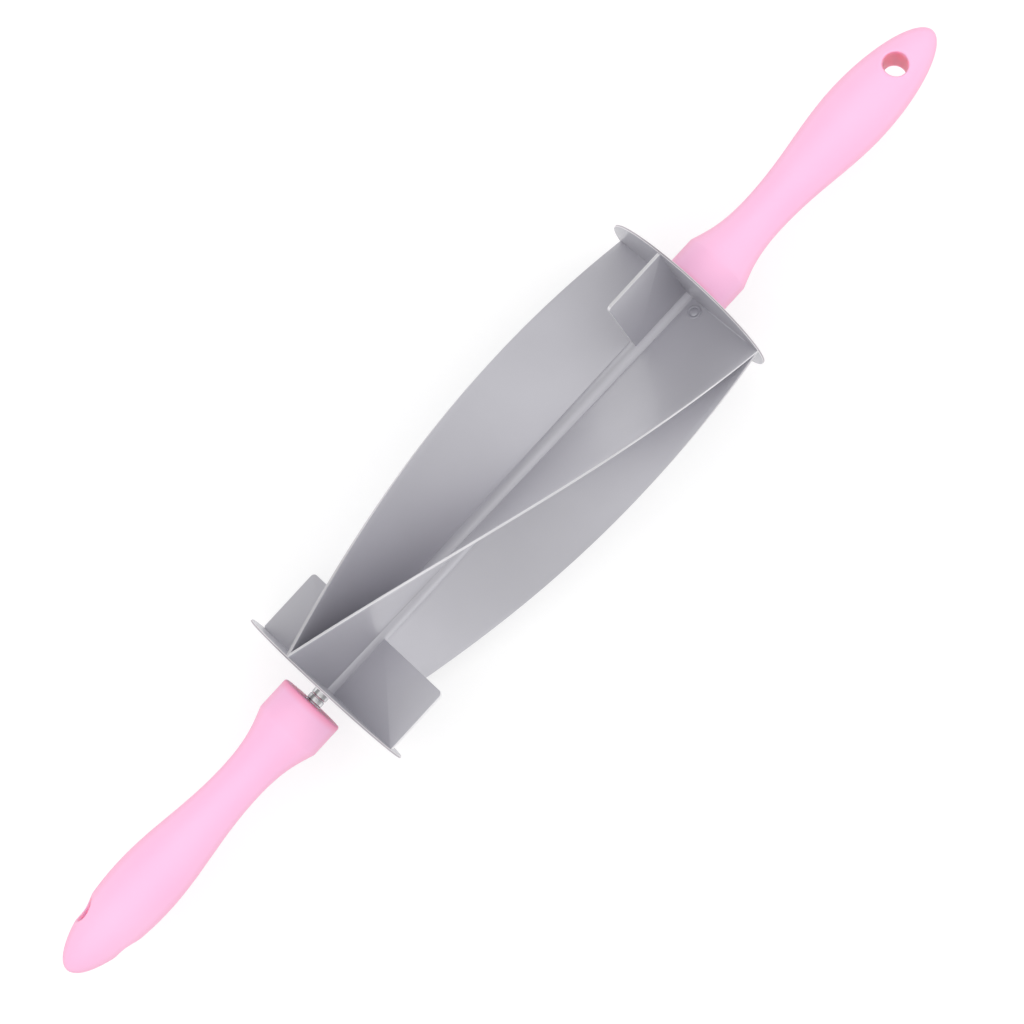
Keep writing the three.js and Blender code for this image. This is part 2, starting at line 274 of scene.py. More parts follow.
def draw_line(points):
    """Extrude a chain of edges through the points, from a plane merged to one point."""
    bpy.ops.mesh.select_mode(type='VERT')
    bpy.ops.mesh.select_all(action='DESELECT')
    bpy.ops.mesh.primitive_plane_add(size=MM)
    bpy.ops.mesh.merge(type='CENTER')
    bpy.ops.transform.translate(value=points[0])
    for last, point in zip(points, points[1:]):
        bpy.ops.mesh.extrude_vertices_move(TRANSFORM_OT_translate={"value": point - last})


def new_line(name, points):
    """A new object that holds one chain of edges; it stays in edit mode."""
    start_fresh()
    bpy.ops.mesh.primitive_plane_add(size=MM)
    piece = name_piece(name)
    bpy.ops.object.mode_set(mode='EDIT')
    bpy.ops.mesh.select_all(action='SELECT')
    bpy.ops.mesh.delete(type='VERT')
    draw_line(points)
    return piece


def close_up():
    """Merge what meets and turn all faces outwards."""
    bpy.ops.mesh.select_all(action='SELECT')
    bpy.ops.mesh.remove_doubles(threshold=MERGE_WITHIN)
    bpy.ops.mesh.normals_make_consistent(inside=False)
    bpy.ops.mesh.select_all(action='DESELECT')


def turned(name, profile, sides):
    """A piece turned about the rod's axis from points of place and radius."""
    piece = new_line(name, [Vector((place, 0, radius)) for place, radius in profile])
    bpy.ops.mesh.select_all(action='SELECT')
    bpy.ops.mesh.spin(steps=sides, angle=FULL_TURN, center=(0, 0, 0), axis=(1, 0, 0))
    close_up()
    return piece


def select_where(piece, kind, wanted):
    """Select the faces or edges that pass a test, of the piece in edit mode."""
    bpy.ops.mesh.select_mode(type=kind)
    mesh = bmesh.from_edit_mesh(piece.data)
    for item in mesh.faces if kind == 'FACE' else mesh.edges:
        item.select = wanted(item)
    bmesh.update_edit_mesh(piece.data)


def round_edges(width, segments):
    """Bevel the sharp edges of the piece in edit mode."""
    bpy.ops.mesh.select_mode(type='EDGE')
    bpy.ops.mesh.select_all(action='DESELECT')
    bpy.ops.mesh.edges_select_sharp(sharpness=math.radians(50))
    bpy.ops.mesh.bevel(offset=width, segments=segments, affect='EDGES', clamp_overlap=True)
    bpy.ops.mesh.select_all(action='DESELECT')


def apply_modifier(piece, kind, **values):
    """Put a modifier on a piece, set it and apply it."""
    pick(piece)
    modifier = piece.modifiers.new(kind.title(), kind)
    for key, value in values.items():
        setattr(modifier, key, value)
    bpy.ops.object.modifier_apply(modifier=modifier.name)


def keep_place():
    """Leave the place, turn and size of the selected object in its mesh."""
    bpy.ops.object.transform_apply(location=True, rotation=True, scale=True)


def settle(piece, place=Matrix.Identity(4)):
    """Bring a piece to its place and leave that place in its mesh."""
    pick(piece)
    piece.matrix_world = place
    keep_place()


def copy_of(piece, name):
    """A copy of a piece with a mesh of its own."""
    pick(piece)
    bpy.ops.object.duplicate(linked=False)
    return name_piece(name)


def paint_faces(piece, slot, wanted):
    """Give the faces that pass the test to a material slot, outside edit mode."""
    start_fresh()
    for face in piece.data.polygons:
        if wanted(face):
            face.material_index = slot


def dress(piece, *materials):
    """Give a piece its materials and smooth shading with crisp edges."""
    for material in materials:
        piece.data.materials.append(material)
    pick(piece)
    bpy.ops.object.shade_smooth_by_angle(angle=math.radians(32))


def along_rod(distance):
    """A shift along the rod."""
    return Matrix.Translation((distance, 0, 0))


def about_rod(angle, middle=0.0):
    """A turn about the rod's axis, after a shift along it."""
    return along_rod(middle) @ Matrix.Rotation(angle, 4, 'X')


END_FOR_END = Matrix.Rotation(math.pi, 4, 'Z')


def beside_rod(angle, radius, along=0.0):
    """A point at an angle from upright about the rod."""
    return Vector((along, -radius * math.sin(angle), radius * math.cos(angle)))


def from_rod(spot):
    """How far a point lies from the rod's axis."""
    return math.hypot(spot.y, spot.z)


# -------- nodes

def feed(tree, socket, value):
    """Set an input to a value, or link it where the value is another node's output."""
    if isinstance(value, NodeSocket):
        tree.links.new(value, socket)
    else:
        socket.default_value = value


def feed_all(tree, sockets, values):
    """Feed inputs by name or number."""
    for name, value in values.items():
        feed(tree, sockets[name], value)


def add_node(tree, kind, place, **values):
    """Add a node and give its properties and inputs their values by name."""
    node = tree.nodes.new(kind)
    node.location = place
    for key, value in values.items():
        if key in node.bl_rna.properties:
            setattr(node, key, value)
        else:
            feed(tree, node.inputs[key.replace("_", " ")], value)
    return node


def calculate(tree, operation, place, *values, kind='ShaderNodeMath'):
    """The result of a maths node that is fed in order."""
    node = add_node(tree, kind, place, operation=operation)
    for socket, value in zip(node.inputs, values):
        feed(tree, socket, value)
    return node.outputs[0]


def map_range(tree, place, value, **limits):
    """A value stretched from one range to another."""
    return add_node(tree, 'ShaderNodeMapRange', place, Value=value, **limits).outputs["Result"]


def mix_colours(tree, place, mask, first, second):
    """The first colour where the mask is nought, and the second where it is one.

    A Mix node's colours are its inputs 6 and 7 and its output 2.
    """
    node = add_node(tree, 'ShaderNodeMix', place, data_type='RGBA', Factor=mask)
    feed_all(tree, node.inputs, {6: first, 7: second})
    return node.outputs[2]


def noise(tree, place, **values):
    """A noise value, whose scale is in spots per metre."""
    return add_node(tree, 'ShaderNodeTexNoise', place, **values).outputs["Fac"]


def new_group(name, inputs, outputs):
    """A new shader group, what comes into it beside the place, and what goes out of it."""
    tree = bpy.data.node_groups.new(name, 'ShaderNodeTree')
    for way, sockets in (('INPUT', {"Vector": "Vector", **inputs}), ('OUTPUT', outputs)):
        for socket_name, kind in sockets.items():
            tree.interface.new_socket(
                socket_name, in_out=way, socket_type=f"NodeSocket{kind}")
    start = add_node(tree, 'NodeGroupInput', (-900, 0))
    end = add_node(tree, 'NodeGroupOutput', (600, 0))
    return tree, start.outputs, end.inputs


def grain_group(name):
    """Fine surface grain: an uneven height, drawn out along the rod where it is rolled."""
    tree, start, end = new_group(name, {"Grain": "Float", "Draw": "Float"}, {"Height": "Float"})
    across = add_node(tree, 'ShaderNodeCombineXYZ', (-700, -150), X=start["Draw"], Y=1.0, Z=1.0)
    drawn = calculate(tree, 'MULTIPLY', (-500, 0), start["Vector"], across.outputs[0],
                      kind='ShaderNodeVectorMath')
    fine = noise(tree, (-250, 120), Vector=drawn, Scale=start["Grain"], Detail=3.0,
                 Roughness=0.55)
    wide = noise(tree, (-250, -160), Vector=start["Vector"], Scale=70.0, Detail=2.0)
    wide_share = 1.6
    feed(tree, end["Height"],
         calculate(tree, 'MULTIPLY_ADD', (100, 0), wide, wide_share, fine))
    return tree


def marks_group(name):
    """Handling marks: roughness that rises in soft smudges."""
    tree, start, end = new_group(
        name, {"Clean": "Float", "Marked": "Float", "Smudges": "Float"}, {"Roughness": "Float"})
    smudges = noise(tree, (-500, 100), Vector=start["Vector"], Scale=start["Smudges"],
                    Detail=4.0, Roughness=0.6)
    mask = map_range(tree, (-250, 100), smudges, From_Min=0.4, From_Max=0.68)
    feed(tree, end["Roughness"],
         map_range(tree, (100, 0), mask, To_Min=start["Clean"], To_Max=start["Marked"]))
    return tree


def drift_group(name):
    """A slow change between two tones of one colour: a random tone drift, and on the rod painted
    bright and dark reflections.
    """
    tree, start, end = new_group(
        name, {"Light": "Color", "Deep": "Color", "Drifts": "Float"}, {"Color": "Color"})
    drifts = noise(tree, (-400, 100), Vector=start["Vector"], Scale=start["Drifts"],
                   Detail=2.0)
    mask = map_range(tree, (-150, 100), drifts, From_Min=0.35, From_Max=0.65)
    feed(tree, end["Color"],
         mix_colours(tree, (200, 0), mask, start["Light"], start["Deep"]))
    return tree


def use_group(tree, name, build, place, **values):
    """A node group by name, built the first time that a material asks for it."""
    group = bpy.data.node_groups.get(name) or build(name)
    return add_node(tree, 'ShaderNodeGroup', place, node_tree=group, **values).outputs


# -------- materials

def new_material(name):
    """A new material, its node tree and its shader's inputs."""
    material = bpy.data.materials.new(name)
    material.use_nodes = True
    tree = material.node_tree
    return material, tree, tree.nodes["Principled BSDF"].inputs


def deeper(colour, share):
    """A colour with each of its parts at a share."""
    return tuple(share * part for part in colour)


def finish_material(name, light, deep, clean, marked, metallic, grain, depth, drifts,
                    smudges=30.0, draw=1.0, film=0.0, glow=0.0, skim=(1.0, 1.0, 1.0)):
    """A material with tone drift, handling marks and fine grain at its own values; on the rod the
    tone drift paints reflections.

    A thin film adds a sharper shine, glow is how much light passes through from behind,
    and skim tints what the surface mirrors edge-on.
    """
    found = bpy.data.materials.get(name)
    if found:
        return found
    material, tree, shader = new_material(name)
    place = add_node(tree, 'ShaderNodeTexCoord', (-1100, 0)).outputs["Object"]
    tone = use_group(tree, "Tone drift and painted reflection", drift_group, (-600, 250), Vector=place,
                     Light=(*light, 1.0), Deep=(*deep, 1.0), Drifts=drifts)
    marks = use_group(tree, "Handling marks", marks_group, (-600, 0), Vector=place,
                      Clean=clean, Marked=marked, Smudges=smudges)
    texture = use_group(tree, "Surface grain", grain_group, (-600, -250), Vector=place,
                        Grain=grain, Draw=draw)
    bump = add_node(tree, 'ShaderNodeBump', (-300, -250), Strength=0.3, Distance=depth,
                    Height=texture["Height"])
    feed_all(tree, shader, {
        "Base Color": tone["Color"], "Roughness": marks["Roughness"],
        "Normal": bump.outputs["Normal"], "Metallic": metallic,
        "Specular Tint": (*skim, 1.0), "Coat Weight": film, "Coat Roughness": 0.2,
        "Subsurface Weight": glow, "Subsurface Radius": (1.0, 0.35, 0.45),
        "Subsurface Scale": 8 * MM})
    return material


def tint(material, colour, mask):
    """Turn a material's base colour to another one where the mask says."""
    tree = material.node_tree
    base = tree.nodes["Principled BSDF"].inputs["Base Color"]
    feed(tree, base, mix_colours(tree, (-200, 350), mask, base.links[0].from_socket,
                                 (*colour, 1.0)))


def plastic(name, handle, light, deep, **finish):
    """Moulded plastic with the handles' roughness and a fine grain."""
    return finish_material(
        name, light, deep, clean=handle.roughness, marked=handle.roughness + 0.08,
        metallic=0.0, grain=1100.0, depth=0.012 * MM, **finish)


def pink_plastic(handle):
    """Satin plastic with a painted red glow where it is seen edge-on and beside the end face."""
    material = plastic("Satin pink plastic", handle, handle.colour, handle.deep_colour,
                       drifts=22.0, smudges=40.0)
    tree = material.node_tree
    # Painted glow: the base colour turns redder as the surface is seen more edge-on.
    facing = add_node(tree, 'ShaderNodeLayerWeight', (-600, 550), Blend=0.5).outputs["Facing"]
    tint(material, handle.painted_edge_glow_colour,
         map_range(tree, (-400, 500), facing, From_Min=0.42, From_Max=1.0))
    # Painted glow and shade: the base colour turns redder within a few millimetres of the end face.
    place = add_node(tree, 'ShaderNodeTexCoord', (-1100, 800)).outputs["Object"]
    split = add_node(tree, 'ShaderNodeSeparateXYZ', (-900, 800), Vector=place)
    along = calculate(tree, 'ABSOLUTE', (-700, 800), split.outputs["X"])
    tint(material, handle.painted_end_glow_colour,
         map_range(tree, (-500, 800), along, interpolation_type='SMOOTHERSTEP',
                   From_Min=HANDLE_FACE, From_Max=HANDLE_FACE + handle.painted_end_glow_length,
                   To_Min=0.6, To_Max=0.0))
    return material


def shaded_plastic(handle):
    """The glowing plastic of the hanging hole and the end face, in a deeper pink painted in as
    shade.
    """
    return plastic("Shaded pink plastic", handle, handle.painted_shade_colour,
                   deeper(handle.painted_shade_colour, 0.95), drifts=160.0, smudges=120.0, glow=1.0)


def sheet_steel(roller):
    return finish_material(
        "Dulled sheet steel", roller.colour, roller.deep_colour,
        clean=roller.roughness, marked=roller.roughness + 0.06, metallic=0.85,
        grain=2600.0, depth=0.006 * MM, drifts=14.0, smudges=26.0, draw=0.12, film=0.6,
        skim=(0.66, 0.66, 0.67))


def cut_edge(name, colour):
    return finish_material(
        name, colour, deeper(colour, 0.92), clean=0.36, marked=0.44, metallic=0.6,
        grain=3200.0, depth=0.008 * MM, drifts=60.0, draw=0.25)


def rod_steel():
    # Painted reflections: the light and deep tones, in spots a few millimetres wide, stand in for
    # the bright and dark surroundings that the polished rod mirrors.
    return finish_material(
        "Polished rod steel with painted reflections", (0.84, 0.84, 0.85), (0.36, 0.36, 0.38), clean=0.08,
        marked=0.16, metallic=1.0, grain=1800.0, depth=0.004 * MM, drifts=420.0,
        smudges=120.0, draw=3.0)


def washer_steel():
    return finish_material(
        "Plated washer steel", (0.70, 0.70, 0.72), (0.60, 0.60, 0.62), clean=0.24,
        marked=0.36, metallic=1.0, grain=2200.0, depth=0.008 * MM, drifts=120.0,
        smudges=160.0)


def rivet_steel():
    return finish_material(
        "Set rivet steel", (0.61, 0.605, 0.65), (0.56, 0.555, 0.60), clean=0.52,
        marked=0.6, metallic=0.85, grain=2400.0, depth=0.008 * MM, drifts=150.0,
        smudges=200.0)


# -------- handles

def bezier_stretch(start, end, leave, arrive, steps):
    """Points of place and radius along a curve, without its first.

    Its two inner points are given as shares of the way and of the change in radius.
    """
    inner = [[a + (b - a) * share for a, b, share in zip(start, end, shares)]
             for shares in (leave, arrive)]
    spots = [Vector((*spot, 0)) for spot in (start, *inner, end)]
    return [(p.x, p.y) for p in interpolate_bezier(*spots, steps + 1)[1:]]


def corner_round(place, radius, size, start, end, steps):
    """Points of place and radius round a corner's centre, from one angle to another."""
    spots = []
    for i in range(steps + 1):
        angle = math.radians(start + (end - start) * i / steps)
        spots.append((place + size * math.sin(angle), radius + size * math.cos(angle)))
    return spots


def handle_profile(handle, bore, bore_depth):
    """From the bottom of the bore round the collar, neck and belly to the tip."""
    collar, face_round, reach = handle.collar_radius, handle.face_round, handle.collar_length
    neck = (handle.neck_place, handle.neck_radius)
    belly = (handle.belly_place, handle.belly_radius)
    bore_chamfer, break_length, break_drop = 0.4 * MM, 0.35 * MM, 0.03 * MM
    lead = bore + bore_chamfer
    profile = [(bore_depth, 0), (bore_depth, bore), (bore_chamfer, bore), (0, lead)]
    profile += [(0, (lead + collar - face_round) / 2)]
    profile += corner_round(face_round, collar - face_round, face_round, -90, 0, FACE_STEPS)
    profile += [(reach * share, collar) for share in (0.3, 0.6, 0.85)]
    profile += [(reach - break_length, collar), (reach, collar - break_drop)]
    profile += bezier_stretch((reach, collar), neck, (0.285, 0.583), (0.518, 1), SHOULDER_STEPS)
    profile += bezier_stretch(neck, belly, (0.391, 0), (0.652, 1), GRIP_STEPS)
    profile += bezier_stretch(belly, (handle.length, 0), (0.518, 0), (1, 0.449), TIP_STEPS)
    return profile


def surface_height(profile, along, aside):
    """Height of a turned surface over its middle plane."""
    radius = np.interp(along, *zip(*profile))
    return math.sqrt(max(radius * radius - aside * aside, 0))


def shape_mouth(piece, handle, profile):
    """Round both mouths of the hanging hole and join them by its wall.

    The wall and the end face, which face away from the light, get a deeper pink painted in as
    shade.
    """
    middle = handle.length - handle.hole_from_tip
    narrow, wide = handle.hole_radius, handle.hole_radius + handle.mouth_round
    upright, probe = 0.2, 0.05 * MM
    past_belly = [spot for spot in profile if spot[0] >= handle.belly_place]
    start_fresh()
    bpy.ops.mesh.primitive_cylinder_add(
        vertices=HOLE_SIDES, radius=wide, depth=4 * handle.belly_radius, location=(middle, 0, 0))
    drill = name_piece("drill")
    apply_modifier(piece, 'BOOLEAN', operation='DIFFERENCE', solver='EXACT', object=drill)
    bpy.data.objects.remove(drill)

    def from_middle(spot):
        return math.hypot(spot.x - middle, spot.y)

    work_on(piece)
    select_where(piece, 'FACE', lambda face: from_middle(face.calc_center_median()) < wide + HAIR
                 and abs(face.normal.z) < upright)
    bpy.ops.mesh.delete(type='FACE')
    bpy.ops.mesh.select_mode(type='EDGE')
    bpy.ops.mesh.select_non_manifold(extend=False, use_wire=False, use_boundary=True,
                                     use_multi_face=False, use_non_contiguous=False,
                                     use_verts=False)
    for step in range(1, MOUTH_STEPS + 1):
        share = step / MOUTH_STEPS
        rest = 1 - share
        bpy.ops.mesh.extrude_edges_move()
        mesh = bmesh.from_edit_mesh(piece.data)
        for vert in (v for v in mesh.verts if v.select):
            around = math.atan2(vert.co.y, vert.co.x - middle)
            side = math.copysign(1, vert.co.z)
            level, near, far = (
                surface_height(past_belly, middle + r * math.cos(around), r * math.sin(around))
                for r in (wide, wide - probe, wide + probe))
            slope = (far - near) / (2 * probe)
            brink = level - slope * handle.mouth_round
            leg = handle.mouth_round * math.sqrt(1 + slope * slope)
            out = wide + (narrow - wide) * (1 - rest ** 2)
            height = rest ** 2 * level + 2 * share * rest * brink + share ** 2 * (brink - leg)
            vert.co = (middle + out * math.cos(around), out * math.sin(around), side * height)
        bmesh.update_edit_mesh(piece.data)
    bpy.ops.mesh.bridge_edge_loops(number_cuts=WALL_CUTS, interpolation='LINEAR')
    close_up()
    # The wall and the end face take the painted-shade material.
    past_wall, past_face = 0.25 * MM, 0.3 * MM
    paint_faces(piece, 1, lambda face: from_middle(face.center) < narrow + past_wall
                or face.center.x < past_face)


class CUTTER_OT_handles(Operator):
    """Turn a handle, drill and round its hanging hole, and set one on each rod end"""
    bl_idname = "cutter.handles"
    bl_label = "Handles"
    bl_options = {'REGISTER', 'UNDO'}

    def execute(self, context):
        handle = context.scene.cutter_handle
        room_round_rod, room_past_rod = 0.05 * MM, 0.3 * MM
        profile = handle_profile(handle, context.scene.cutter_rod.radius + room_round_rod,
                                 ROD_END - HANDLE_FACE + room_past_rod)
        right = turned("grip_right", profile, HANDLE_SIDES)
        shape_mouth(right, handle, profile)
        dress(right, pink_plastic(handle), shaded_plastic(handle))
        left = copy_of(right, "grip_left")
        face = along_rod(HANDLE_FACE)
        settle(right, face @ about_rod(handle.right_roll))
        settle(left, END_FOR_END @ face @ about_rod(handle.left_roll))
        for piece, node in ((right, "right_handle"), (left, "left_handle")):
            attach(piece, "handles")
            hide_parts(node)
        return {'FINISHED'}


# -------- rod and washers

def mirrored(half):
    """A profile of place and radius that is the same on both sides of the middle."""
    return [(-place, radius) for place, radius in reversed(half)] + half


class CUTTER_OT_rod(Operator):
    """Turn the rod with its chamfered ends and its grooves beside each handle"""
    bl_idname = "cutter.rod"
    bl_label = "Rod"
    bl_options = {'REGISTER', 'UNDO'}

    def execute(self, context):
        rod = context.scene.cutter_rod
        half = []
        for i in range(rod.groove_count):
            middle = HANDLE_FACE - rod.groove_lead + i * rod.groove_pitch
            for share in np.linspace(-1, 1, GROOVE_STEPS + 1):
                dip = rod.groove_depth * math.sqrt(1 - share * share)
                half.append((middle + share * rod.groove_width / 2, rod.radius - dip))
        half += [(ROD_END - rod.end_chamfer, rod.radius),
                 (ROD_END, rod.radius - rod.end_chamfer), (ROD_END, 0)]
        piece = turned("rod_turned", mirrored(half), ROD_SIDES)
        dress(piece, rod_steel())
        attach(piece, "handles")
        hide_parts("axle_rod")
        return {'FINISHED'}


def ring_profile(inner, outer, start, end):
    """A closed rectangle of place and radius."""
    return [(start, inner), (start, outer), (end, outer), (end, inner), (start, inner)]


class CUTTER_OT_washers(Operator):
    """Turn a thrust washer with rounded edges for each end of the roller"""
    bl_idname = "cutter.washers"
    bl_label = "Washers"
    bl_options = {'REGISTER', 'UNDO'}

    def execute(self, context):
        bore, edge_round = context.scene.cutter_rod.bore, 0.12 * MM
        start, end = frame_along("right_washer")
        other_start = frame_along("left_washer")[0]
        profile = ring_profile(bore, frame_reach("right_washer"), start, end)
        right = turned("thrust_right", profile, ROD_SIDES)
        round_edges(edge_round, segments=2)
        dress(right, washer_steel())
        left = copy_of(right, "thrust_left")
        settle(right)
        settle(left, along_rod(other_start - start))
        for piece, node in ((right, "right_washer"), (left, "left_washer")):
            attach(piece, "washers")
            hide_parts(node)
        return {'FINISHED'}


# -------- roller

def join_roller(piece, node):
    """Let a piece turn with the roller in place of its CAD node."""
    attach(piece, "roller")
    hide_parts(node)


class CUTTER_OT_tube(Operator):
    """Turn the tube that carries the blades"""
    bl_idname = "cutter.tube"
    bl_label = "Tube"
    bl_options = {'REGISTER', 'UNDO'}

    def execute(self, context):
        roller = context.scene.cutter_roller
        profile = ring_profile(context.scene.cutter_rod.bore, roller.tube_radius,
                               LEFT_DISC_INNER, RIGHT_DISC_INNER)
        piece = turned("core_tube", profile, TUBE_SIDES)
        dress(piece, sheet_steel(roller))
        join_roller(piece, "roller_tube")
        return {'FINISHED'}


class CUTTER_OT_discs(Operator):
    """Turn an end disc with rounded rims and copy it to the other end"""
    bl_idname = "cutter.discs"
    bl_label = "Discs"
    bl_options = {'REGISTER', 'UNDO'}

    def execute(self, context):
        roller = context.scene.cutter_roller
        profile = ring_profile(context.scene.cutter_rod.bore, roller.disc_radius,
                               RIGHT_DISC_INNER, RIGHT_DISC_OUTER)
        right = turned("end_disc_right", profile, DISC_SIDES)
        round_edges(roller.disc_round, segments=3)
        rim = roller.disc_radius - 1.2 * roller.disc_round
        on_rim, on_side = 0.1, 0.99
        # The flat of each rim gets the darker grey.
        paint_faces(right, 1, lambda face: from_rod(face.center) > rim)
        # The rims' rounded corners take the painted highlight.
        paint_faces(right, 2, lambda face: face.material_index == 1
                    and on_rim < abs(face.normal.x) < on_side)
        dress(right, sheet_steel(roller), cut_edge("Darker disc rim", roller.rim_colour),
              cut_edge("Disc corner painted highlight", roller.corner_highlight_colour))
        left = copy_of(right, "end_disc_left")
        settle(right)
        settle(left, along_rod(LEFT_DISC_OUTER - RIGHT_DISC_INNER))
        join_roller(right, "right_disc")
        join_roller(left, "left_disc")
        return {'FINISHED'}


def blade_lines(roller, hand):
    """A blade's root on the tube and its winding edge, with the root's tail in the wall."""
    sector = FULL_TURN / roller.blade_count
    tail, past_disc = 0.5 * MM, 1 * MM
    reach = DISC_SPACING / 2 + past_disc
    roots, edges = [], []
    for i in range(BLADE_STEPS + 1):
        along = reach * (2 * i / BLADE_STEPS - 1)
        turn = hand * sector * along / DISC_SPACING
        edge = beside_rod(turn, roller.blade_radius, along)
        root = beside_rod(roller.root_twist * turn, roller.tube_radius, along)
        roots.append(root - (edge - root).normalized() * tail)
        edges.append(edge)
    return roots, edges


def shape_blade(name, roller, hand):
    """One twisted blade, upright midway, bridged between its two long edges.

    The blades of the first hand have a worn, bright cutting edge and the others a sheared one.
    """
    if hand > 0:
        edge_round = roller.blade_round
        edge_finish = cut_edge("Worn cutting edge", roller.edge_colour)
    else:
        edge_round = roller.sheet_round
        edge_finish = cut_edge("Sheared cutting edge", roller.sheared_colour)
    roots, edges = blade_lines(roller, hand)
    piece = new_line(name, roots)
    draw_line(edges)
    bpy.ops.mesh.select_all(action='SELECT')
    bpy.ops.mesh.bridge_edge_loops(number_cuts=BLADE_CUTS, interpolation='LINEAR')
    bpy.ops.mesh.normals_make_consistent(inside=False)
    piece.data.materials.append(sheet_steel(roller))
    piece.data.materials.append(edge_finish)
    apply_modifier(piece, 'SOLIDIFY', thickness=roller.sheet, offset=0,
                   use_even_offset=True, material_offset_rim=1)
    work_on(piece)
    round_edges(edge_round, segments=3)
    edge_face = roller.blade_radius - 0.05 * MM
    paint_faces(piece, 0, lambda face: from_rod(face.center) < edge_face)

    # Cut the ends off just inside the discs, and the sides where two blades meet.
    work_on(piece)
    seam = 0.02 * MM
    quarter, half = math.pi / 2, math.pi / roller.blade_count
    cuts = [(Vector((way, 0, 0)), DISC_SPACING / 2 + DISC_BITE) for way in (-1, 1)]
    cuts += [(beside_rod(way * (half + quarter), 1), -seam) for way in (-1, 1)]
    for outward, distance in cuts:
        bpy.ops.mesh.select_all(action='SELECT')
        bpy.ops.mesh.bisect(plane_co=outward * distance, plane_no=outward,
                            use_fill=True, clear_outer=True)
    close_up()
    dress(piece)
    return piece


def lay_bead(piece, roller):
    """A thin weld bead where a blade of the first hand meets the right disc, on its open side."""
    end, turn = DISC_SPACING / 2, math.pi / roller.blade_count
    root = beside_rod(roller.root_twist * turn, roller.tube_radius, end)
    edge = beside_rod(turn, roller.blade_radius, end)
    way = (edge - root).normalized()
    aside = Vector((1, 0, 0)).cross(way) * (-roller.sheet / 2)
    start, stop = (root + way * (reach - roller.tube_radius) + aside
                   for reach in roller.bead_reach)
    start_fresh()
    bpy.ops.mesh.primitive_cylinder_add(
        vertices=BEAD_SIDES, radius=roller.bead_radius, depth=(stop - start).length)
    bead = name_piece("bead")
    work_on(bead)
    round_edges(0.6 * roller.bead_radius, segments=3)
    settle(bead, Matrix.Translation((start + stop) / 2)
           @ way.to_track_quat('Z', 'X').to_matrix().to_4x4())
    dress(bead, sheet_steel(roller))
    pick(piece)
    bead.select_set(True)
    bpy.ops.object.join()


class CUTTER_OT_blades(Operator):
    """Shape a blade of each hand and set the four round the tube"""
    bl_idname = "cutter.blades"
    bl_label = "Blades"
    bl_options = {'REGISTER', 'UNDO'}

    def execute(self, context):
        roller = context.scene.cutter_roller
        sector = FULL_TURN / roller.blade_count
        blades = {}
        for first, hand in ((0, 1), (1, -1)):
            blades[first] = shape_blade(f"twist_blade_{first + 1}", roller, hand)
            if hand > 0:
                lay_bead(blades[first], roller)
            for index in range(first + 2, roller.blade_count, 2):
                blades[index] = copy_of(blades[first], f"twist_blade_{index + 1}")
        for index, piece in blades.items():
            settle(piece, about_rod(roller.first_root + index * sector, ROLLER_MIDDLE))
            join_roller(piece, f"blade_{index + 1}")
        return {'FINISHED'}


class CUTTER_OT_fins(Operator):
    """Shape a flat fin with rounded corners and set two at each disc"""
    bl_idname = "cutter.fins"
    bl_label = "Fins"
    bl_options = {'REGISTER', 'UNDO'}

    def execute(self, context):
        roller = context.scene.cutter_roller
        tube_bite, broad_side = 0.3 * MM, 0.9
        start = DISC_SPACING / 2 + DISC_BITE
        inner_end = start - DISC_BITE - roller.fin_length
        root, top = roller.tube_radius - tube_bite, roller.blade_radius
        start_fresh()
        bpy.ops.mesh.primitive_cube_add(
            size=1, location=((start + inner_end) / 2, 0, (root + top) / 2),
            scale=(start - inner_end, roller.fin_sheet, top - root))
        fin = name_piece("slit_fin")
        keep_place()
        for along, size in ((inner_end, roller.fin_inner_corner),
                            (start, roller.fin_disc_corner + DISC_BITE)):
            work_on(fin)
            select_where(fin, 'EDGE', lambda edge: all(
                abs(vert.co.x - along) < HAIR and vert.co.z > top - HAIR for vert in edge.verts))
            bpy.ops.mesh.bevel(offset=size, segments=FIN_STEPS, affect='EDGES')
        work_on(fin)
        round_edges(roller.sheet_round, segments=2)
        paint_faces(fin, 1, lambda face: abs(face.normal.y) < broad_side)
        dress(fin, sheet_steel(roller), cut_edge("Bright fin edge", roller.fin_edge_colour))
        sector = FULL_TURN / roller.blade_count
        for pair in range(2):
            closing = roller.first_root + sector * (0.5 + 2 * pair)
            right = copy_of(fin, f"slit_fin_right_{pair + 1}")
            settle(right, about_rod(closing + sector, ROLLER_MIDDLE))
            join_roller(right, f"right_fin_{pair + 1}")
            left = copy_of(fin, f"slit_fin_left_{pair + 1}")
            settle(left, about_rod(closing, ROLLER_MIDDLE) @ END_FOR_END)
            join_roller(left, f"left_fin_{pair + 1}")
        bpy.data.objects.remove(fin)
        return {'FINISHED'}


def rivet_profile(rivet, face):
    """One head from the blade's face to the middle of its dome."""
    sunk, flange_round = 0.3 * MM, 0.15 * MM
    step_width, step_depth, dome_gap = 0.12 * MM, 0.06 * MM, 0.02 * MM
    flange = face + rivet.flange_height
    head = [(face - sunk, rivet.shank_radius), (face - sunk, rivet.flange_radius)]
    head += corner_round(flange - flange_round, rivet.flange_radius - flange_round,
                         flange_round, 0, 90, FLANGE_STEPS)
    head += [(flange, rivet.dome_radius + step_width),
             (flange - step_depth, rivet.dome_radius + dome_gap)]
    for step in range(DOME_STEPS):
        lift = math.radians(90 * step / DOME_STEPS)
        head.append((flange + rivet.dome_height * math.sin(lift),
                     rivet.dome_radius * math.cos(lift)))
    return head + [(flange + rivet.dome_height, 0)]


